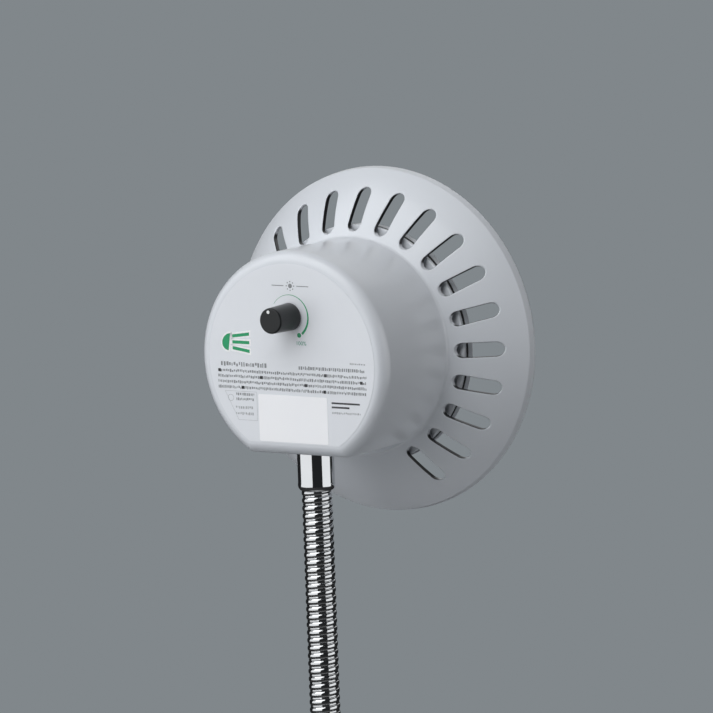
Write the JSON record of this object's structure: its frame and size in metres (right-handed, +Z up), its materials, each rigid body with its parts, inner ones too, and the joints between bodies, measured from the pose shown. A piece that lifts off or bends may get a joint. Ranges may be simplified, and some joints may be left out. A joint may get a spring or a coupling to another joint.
{
  "type": "examination lamp",
  "caption": "Examination lamp: round LED head with a vented flared shade, rear drum with dimmer knob, on a chrome gooseneck over a round screw-down base.",
  "frame": {"origin": "centre of the base underside, on the axis of the upright neck", "axes": "+Z up along the straight neck, +Y the way the light shines, so the control panel faces -Y, +X to the right as the control panel is seen"},
  "size_m": [0.185, 0.1257, 0.6113],
  "materials": {
    "housing_white": "white moulded ABS with a soft gloss",
    "base_white": "white powder coat on cast metal",
    "label_film": "satin printed film",
    "sticker_paper": "blank white sticker",
    "knob_black": "black moulded plastic, satin",
    "index_white": "white inlay",
    "chrome": "bright chrome plate",
    "gooseneck_chrome": "bright chrome plate on wound wire",
    "zinc_steel": "zinc plated steel",
    "brass": "plain brass",
    "board_green": "glass-epoxy board with solder mask",
    "ferrite": "ferrite and tape",
    "capacitor_sleeve": "shrink sleeve",
    "copper_winding": "enamelled copper winding",
    "terminal_grey": "moulded terminal plastic",
    "wire_white": "insulated wire",
    "lead_grey": "two-core sheathed lead",
    "sink_aluminium": "natural die-cast aluminium",
    "led_board_white": "white solder mask on aluminium",
    "led_package": "LED package with phosphor dome",
    "reflector": "vacuum-plated plastic, mirror finish",
    "lens_clear": "clear polycarbonate",
    "gasket_black": "black rubber",
    "dimmer_metal": "stamped steel case"
  },
  "bodies": {
    "base": {"base_cover": "base_white", "base_plate": "zinc_steel", "base_plate_screws": "zinc_steel", "cord_grommet": "gasket_black", "base_terminal_block": "terminal_grey", "lower_ferrule": "chrome", "lower_nipple": "brass", "lower_lock_washer": "zinc_steel", "lower_lock_nut": "zinc_steel", "neck_tube_1": "gooseneck_chrome", "neck_lead_1": "lead_grey"},
    "neck_1": {"neck_tube_2": "gooseneck_chrome", "neck_lead_2": "lead_grey"},
    "neck_2": {"neck_tube_3": "gooseneck_chrome", "neck_lead_3": "lead_grey"},
    "neck_3": {"neck_tube_4": "gooseneck_chrome", "neck_lead_4": "lead_grey"},
    "neck_4": {"neck_tube_5": "gooseneck_chrome", "neck_lead_5": "lead_grey"},
    "neck_5": {"neck_tube_6": "gooseneck_chrome", "neck_lead_6": "lead_grey"},
    "neck_6": {"neck_tube_7": "gooseneck_chrome", "neck_lead_7": "lead_grey"},
    "neck_7": {"neck_tube_8": "gooseneck_chrome", "neck_lead_8": "lead_grey"},
    "head": {"rear_housing": "housing_white", "shade": "housing_white", "mounting_ring": "housing_white", "housing_screws": "zinc_steel", "control_label": "label_film", "rating_sticker": "sticker_paper", "dimmer_switch": "dimmer_metal", "dimmer_washer": "zinc_steel", "dimmer_nut": "zinc_steel", "driver_board": "board_green", "driver_screws": "zinc_steel", "driver_transformer": "ferrite", "driver_capacitors": "capacitor_sleeve", "driver_choke": "copper_winding", "driver_terminal_block": "terminal_grey", "led_wires": "wire_white", "dimmer_wires": "wire_white", "module_frame": "housing_white", "heat_sink": "sink_aluminium", "module_screws": "zinc_steel", "led_board": "led_board_white", "led_chips": "led_package", "reflector_plate": "reflector", "front_lens": "lens_clear", "lens_gasket": "gasket_black", "lens_bezel": "housing_white", "upper_ferrule": "chrome", "upper_nipple": "brass", "upper_lock_washer": "zinc_steel", "upper_lock_nut": "zinc_steel", "neck_tube_9": "gooseneck_chrome", "neck_lead_9": "lead_grey"},
    "knob": {"dimmer_knob": "knob_black", "knob_index_dot": "index_white", "dimmer_shaft": "brass"}
  },
  "joints": [
    {"name": "neck_bend_1", "type": "hinge", "parent": "base", "child": "neck_1", "pos_m": [0, 0, 0.0735], "axis": [1, 0, 0], "range_deg": [-25, 25]},
    {"name": "neck_bend_2", "type": "hinge", "parent": "neck_1", "child": "neck_2", "pos_m": [0, 0, 0.1235], "axis": [0, 1, 0], "range_deg": [-25, 25]},
    {"name": "neck_bend_3", "type": "hinge", "parent": "neck_2", "child": "neck_3", "pos_m": [0, 0, 0.1735], "axis": [1, 0, 0], "range_deg": [-25, 25]},
    {"name": "neck_bend_4", "type": "hinge", "parent": "neck_3", "child": "neck_4", "pos_m": [0, 0, 0.2235], "axis": [0, 1, 0], "range_deg": [-25, 25]},
    {"name": "neck_bend_5", "type": "hinge", "parent": "neck_4", "child": "neck_5", "pos_m": [0, 0, 0.2735], "axis": [1, 0, 0], "range_deg": [-25, 25]},
    {"name": "neck_bend_6", "type": "hinge", "parent": "neck_5", "child": "neck_6", "pos_m": [0, 0, 0.3235], "axis": [0, 1, 0], "range_deg": [-25, 25]},
    {"name": "neck_bend_7", "type": "hinge", "parent": "neck_6", "child": "neck_7", "pos_m": [0, 0, 0.3735], "axis": [1, 0, 0], "range_deg": [-25, 25]},
    {"name": "neck_bend_8", "type": "hinge", "parent": "neck_7", "child": "head", "pos_m": [0, 0, 0.4235], "axis": [0, 1, 0], "range_deg": [-25, 25]},
    {"name": "dimmer_turn", "type": "hinge", "parent": "head", "child": "knob", "pos_m": [0, -0.0268, 0.5426], "axis": [0, 1, 0], "range_deg": [-136, 164]}
  ]
}
